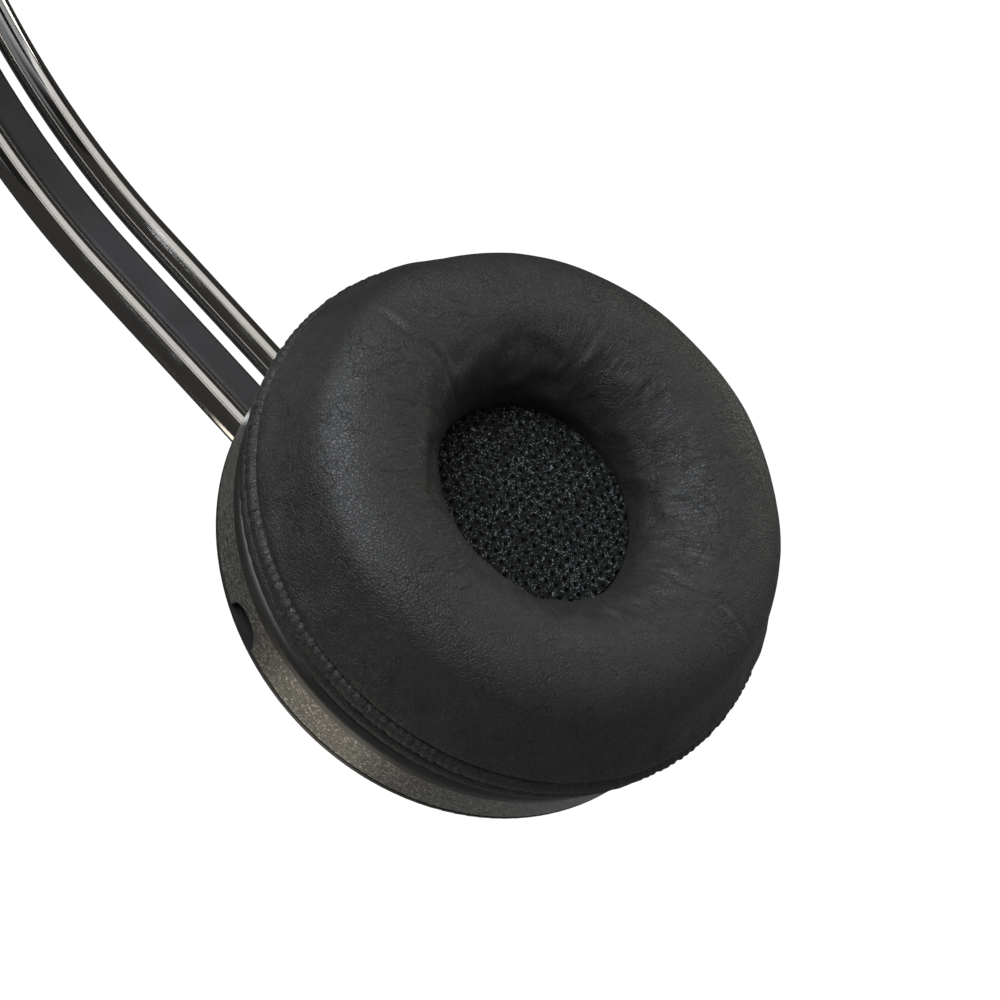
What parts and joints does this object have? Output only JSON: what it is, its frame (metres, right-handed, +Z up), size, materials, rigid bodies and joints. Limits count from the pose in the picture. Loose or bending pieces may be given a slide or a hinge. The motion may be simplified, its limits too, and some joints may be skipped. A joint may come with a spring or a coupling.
{
  "type": "office headset",
  "caption": "On-ear office headset: padded twin-rod headband, sliding and tilting cushioned ear cups, and a swinging microphone boom.",
  "frame": {"origin": "midway between the centres of the two ear cushions, on the line through both ear openings", "axes": "+Z up towards the crown of the headband, -Y the wearer's front, +X the wearer's left"},
  "size_m": [0.194, 0.066, 0.1733],
  "materials": {
    "chrome_rod": "mirror polished",
    "black_strip": "fine matt",
    "black_plastic": "fine spark texture",
    "shell_plastic": "satin",
    "leatherette": "fine pebbled grain, soft sheen",
    "mesh_cloth": "open spacer knit",
    "foam": "open cell",
    "bezel_plastic": "smooth satin",
    "cup_metallic": "dark gunmetal with fine metallic flake",
    "cap_plastic": "satin",
    "steel_pin": "turned",
    "screw_steel": "blackened",
    "nylon": "natural",
    "cone_film": "thin film",
    "magnet_steel": "zinc plated",
    "board_green": "solder mask",
    "jack_metal": "nickel plated",
    "boom_black": "satin",
    "clip_steel": "spring steel",
    "button_grey": "fine matt"
  },
  "bodies": {
    "band": {"band_rod_front": "chrome_rod", "band_rod_rear": "chrome_rod", "crown_cover": "shell_plastic", "crown_end_caps": "shell_plastic", "crown_frame": "black_plastic", "crown_screws": "screw_steel", "headband_pad": "leatherette", "lead_strip": "black_strip", "rod_end_bar_l": "black_plastic", "rod_end_bar_r": "black_plastic"},
    "carrier_r": {"carrier_body_r": "black_plastic", "carrier_cover_r": "shell_plastic", "friction_pads_r": "nylon", "swivel_pin_r": "steel_pin", "carrier_screws_r": "screw_steel"},
    "knuckle_r": {"knuckle_r": "steel_pin"},
    "cup_r": {"ear_cushion_r": "leatherette", "mesh_screen_r": "mesh_cloth", "acoustic_foam_r": "foam", "cushion_plate_r": "black_plastic", "baffle_r": "black_plastic", "cup_screws_r": "screw_steel", "cup_bezel_r": "bezel_plastic", "cup_ring_r": "cup_metallic", "back_cap_r": "cap_plastic", "speaker_frame_r": "black_plastic", "speaker_cone_r": "cone_film", "speaker_magnet_r": "magnet_steel", "circuit_board_r": "board_green", "tilt_pin_r": "steel_pin", "jack_socket": "jack_metal"},
    "carrier_l": {"carrier_body_l": "black_plastic", "carrier_cover_l": "shell_plastic", "friction_pads_l": "nylon", "swivel_pin_l": "steel_pin", "carrier_screws_l": "screw_steel"},
    "knuckle_l": {"knuckle_l": "steel_pin"},
    "cup_l": {"ear_cushion_l": "leatherette", "mesh_screen_l": "mesh_cloth", "acoustic_foam_l": "foam", "cushion_plate_l": "black_plastic", "baffle_l": "black_plastic", "cup_screws_l": "screw_steel", "cup_bezel_l": "bezel_plastic", "cup_ring_l": "cup_metallic", "back_cap_l": "cap_plastic", "speaker_frame_l": "black_plastic", "speaker_cone_l": "cone_film", "speaker_magnet_l": "magnet_steel", "circuit_board_l": "board_green", "tilt_pin_l": "steel_pin"},
    "boom": {"boom_arm": "boom_black", "boom_hub": "boom_black", "boom_clip": "clip_steel", "mic_front": "boom_black", "mic_back": "boom_black", "mic_capsule": "jack_metal"},
    "mute": {"mute_button": "button_grey"}
  },
  "joints": [
    {"name": "height_r", "type": "slide", "parent": "band", "child": "carrier_r", "axis": [0, 0, -1], "range_m": [-0.018, 0.014]},
    {"name": "swivel_r", "type": "hinge", "parent": "carrier_r", "child": "knuckle_r", "pos_m": [-0.0877, 0, 0], "axis": [0, 0, 1], "range_deg": [-10, 10]},
    {"name": "tilt_r", "type": "hinge", "parent": "knuckle_r", "child": "cup_r", "pos_m": [-0.0823, 0, 0], "axis": [0, 1, 0], "range_deg": [-8, 8]},
    {"name": "height_l", "type": "slide", "parent": "band", "child": "carrier_l", "axis": [0, 0, -1], "range_m": [-0.018, 0.014]},
    {"name": "swivel_l", "type": "hinge", "parent": "carrier_l", "child": "knuckle_l", "pos_m": [0.0877, 0, 0], "axis": [0, 0, 1], "range_deg": [-10, 10]},
    {"name": "tilt_l", "type": "hinge", "parent": "knuckle_l", "child": "cup_l", "pos_m": [0.0823, 0, 0], "axis": [0, 1, 0], "range_deg": [-8, 8]},
    {"name": "boom_turn", "type": "hinge", "parent": "cup_l", "child": "boom", "pos_m": [0.08747, -0.0185, -0.012], "axis": [1, 0, 0], "range_deg": [0, 130]},
    {"name": "mute_press", "type": "slide", "parent": "boom", "child": "mute", "axis": [-1, 0, 0], "range_m": [0, 0.0007], "stiffness_N_per_m": 600, "springref_m": -0.0004}
  ]
}
